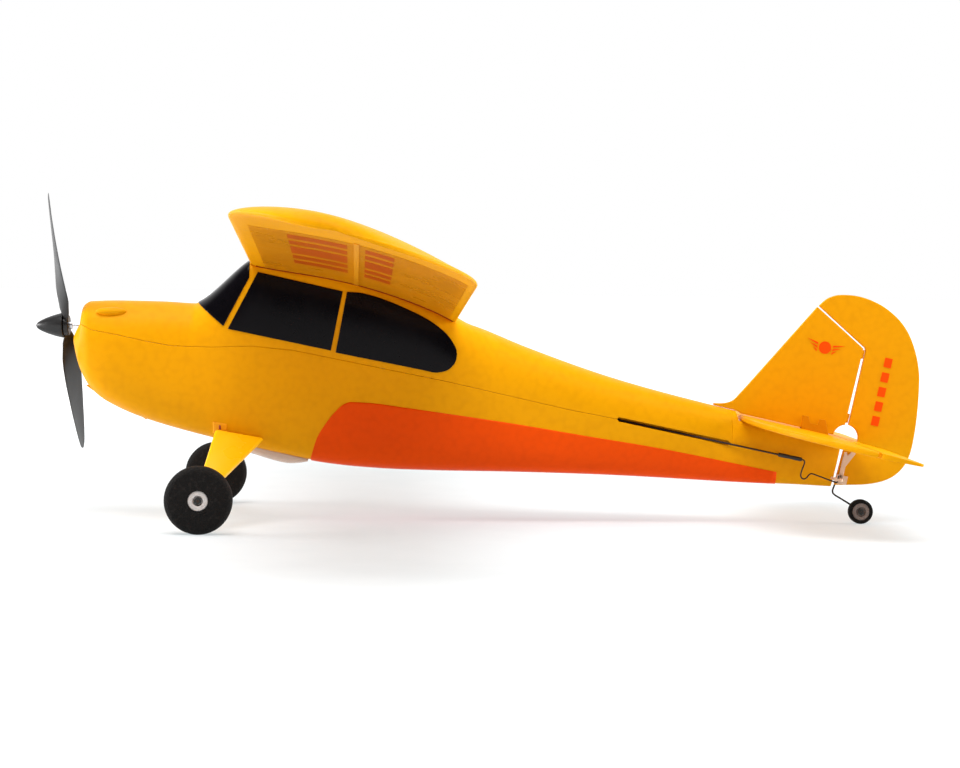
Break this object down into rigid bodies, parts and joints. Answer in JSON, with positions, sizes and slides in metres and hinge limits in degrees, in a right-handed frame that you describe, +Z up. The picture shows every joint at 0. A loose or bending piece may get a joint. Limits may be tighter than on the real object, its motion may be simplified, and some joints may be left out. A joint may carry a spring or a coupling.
{
  "type": "rc foam airplane",
  "caption": "Small foam high-wing radio-controlled airplane with a geared propeller, steerable tail wheel, hinged rudder and elevator, and wire main undercarriage.",
  "frame": {"origin": "middle of the bounding box at ground level, under the three wheels", "axes": "+Z up from the ground in the tail-down standing attitude, -X towards the nose, -Y towards port"},
  "size_m": [0.368, 0.515, 0.1327],
  "materials": {
    "yellow_foam": "fine bead foam, painted yellow, satin",
    "orange_print": "printed orange-red, satin",
    "black_film": "glossy black film",
    "spar_strip": "pale flat strip",
    "horn_plastic": "moulded natural nylon",
    "black_plastic": "moulded black, satin",
    "steel": "turned steel",
    "wire_steel": "drawn music wire",
    "white_nylon": "natural nylon",
    "brass": "turned brass",
    "dark_plastic": "moulded dark plastic",
    "circuit_board": "green solder mask",
    "heat_shrink": "black sleeve",
    "battery_foil": "silver pouch",
    "hook_pad": "hook and loop pad",
    "plywood": "thin plywood",
    "lead_sheath": "silicone lead",
    "hatch_plastic": "thin translucent moulding",
    "plate_plastic": "moulded plate, painted yellow",
    "fairing_plastic": "smooth yellow plate",
    "foam_tyre": "black sponge",
    "hub_plastic": "pale grey moulding",
    "tail_hub_plastic": "grey-brown moulding"
  },
  "bodies": {
    "airframe": {"fuselage_upper": "yellow_foam", "fuselage_lower": "yellow_foam", "windscreen_film": "black_film", "side_window_film": "black_film", "side_panels": "orange_print", "wing_left": "yellow_foam", "wing_right": "yellow_foam", "wing_spars": "spar_strip", "wing_stripes": "orange_print", "stabilizer": "yellow_foam", "fin": "yellow_foam", "fin_emblem": "orange_print", "motor_can": "steel", "motor_endbell": "dark_plastic", "gearbox_frame": "dark_plastic", "shaft_bushings": "brass", "gearbox_screws": "steel", "receiver_board": "circuit_board", "servo_frames": "white_nylon", "board_chips": "dark_plastic", "battery": "battery_foil", "battery_pad": "hook_pad", "battery_tray": "plywood", "battery_lead": "lead_sheath", "motor_lead": "lead_sheath", "hatch_hinge_pin": "steel", "catch_magnet": "steel", "gear_wire": "wire_steel", "gear_block": "dark_plastic", "gear_side_plates": "plate_plastic", "leg_fairing_left": "fairing_plastic", "leg_fairing_right": "fairing_plastic", "wheel_retainers": "heat_shrink"},
    "propeller": {"propeller": "black_plastic", "spinner": "black_plastic", "shaft_collar": "steel", "prop_shaft": "steel", "spur_gear": "white_nylon"},
    "motor_pinion": {"pinion": "brass"},
    "rudder": {"rudder": "yellow_foam", "rudder_marks": "orange_print", "rudder_horn": "horn_plastic", "tail_wheel_wire": "wire_steel", "tail_retainer": "heat_shrink"},
    "tail_wheel": {"tail_tyre": "foam_tyre", "tail_hub": "tail_hub_plastic"},
    "elevator": {"elevator": "yellow_foam", "elevator_horn": "horn_plastic"},
    "rudder_pushrod": {"rudder_pushrod": "wire_steel", "rudder_coupler": "heat_shrink", "rudder_servo_slider": "dark_plastic"},
    "elevator_pushrod": {"elevator_pushrod": "wire_steel", "elevator_coupler": "heat_shrink", "elevator_servo_slider": "dark_plastic"},
    "left_wheel": {"tyre_left": "foam_tyre", "hub_left": "hub_plastic"},
    "right_wheel": {"tyre_right": "foam_tyre", "hub_right": "hub_plastic"},
    "battery_hatch": {"battery_hatch": "hatch_plastic", "hatch_magnet": "steel"}
  },
  "joints": [
    {"name": "prop_spin", "type": "hinge", "parent": "airframe", "child": "propeller", "pos_m": [-0.1732, 0.0012, 0.079], "axis": [-0.9983, 0.0523, -0.0262], "continuous": true},
    {"name": "pinion_spin", "type": "hinge", "parent": "airframe", "child": "motor_pinion", "pos_m": [-0.173, 0.00119, 0.07144], "axis": [-0.9983, 0.0523, -0.0262], "continuous": true},
    {"name": "left_wheel_spin", "type": "hinge", "parent": "airframe", "child": "left_wheel", "pos_m": [-0.1133, -0.0645, 0.01335], "axis": [0, 1, 0], "continuous": true},
    {"name": "right_wheel_spin", "type": "hinge", "parent": "airframe", "child": "right_wheel", "pos_m": [-0.1133, 0.0645, 0.01335], "axis": [0, 1, 0], "continuous": true},
    {"name": "rudder_hinge", "type": "hinge", "parent": "airframe", "child": "rudder", "pos_m": [0.1518, 0, 0.036], "axis": [0.2096, 0, 0.9778], "range_deg": [-25, 25]},
    {"name": "tail_wheel_spin", "type": "hinge", "parent": "rudder", "child": "tail_wheel", "pos_m": [0.1597, 0, 0.00513], "axis": [0, 1, 0], "continuous": true},
    {"name": "elevator_hinge", "type": "hinge", "parent": "airframe", "child": "elevator", "pos_m": [0.15101, 0, 0.03489], "axis": [0, -1, 0], "range_deg": [-20, 20]},
    {"name": "rudder_pushrod_slide", "type": "slide", "parent": "airframe", "child": "rudder_pushrod", "axis": [0.9799, 0, -0.1994], "range_m": [-0.0043, 0.0043]},
    {"name": "elevator_pushrod_slide", "type": "slide", "parent": "airframe", "child": "elevator_pushrod", "axis": [0.9799, 0, -0.1994], "range_m": [-0.0035, 0.0035]},
    {"name": "hatch_hinge", "type": "hinge", "parent": "airframe", "child": "battery_hatch", "pos_m": [-0.104, 0, 0.0322], "axis": [0, 1, 0], "range_deg": [0, 45]}
  ],
  "couplings": [
    {"joint": "pinion_spin", "follows": "prop_spin", "ratio": -4},
    {"joint": "rudder_pushrod_slide", "follows": "rudder_hinge", "m_per_rad": 0.0094},
    {"joint": "elevator_pushrod_slide", "follows": "elevator_hinge", "m_per_rad": 0.0094}
  ]
}
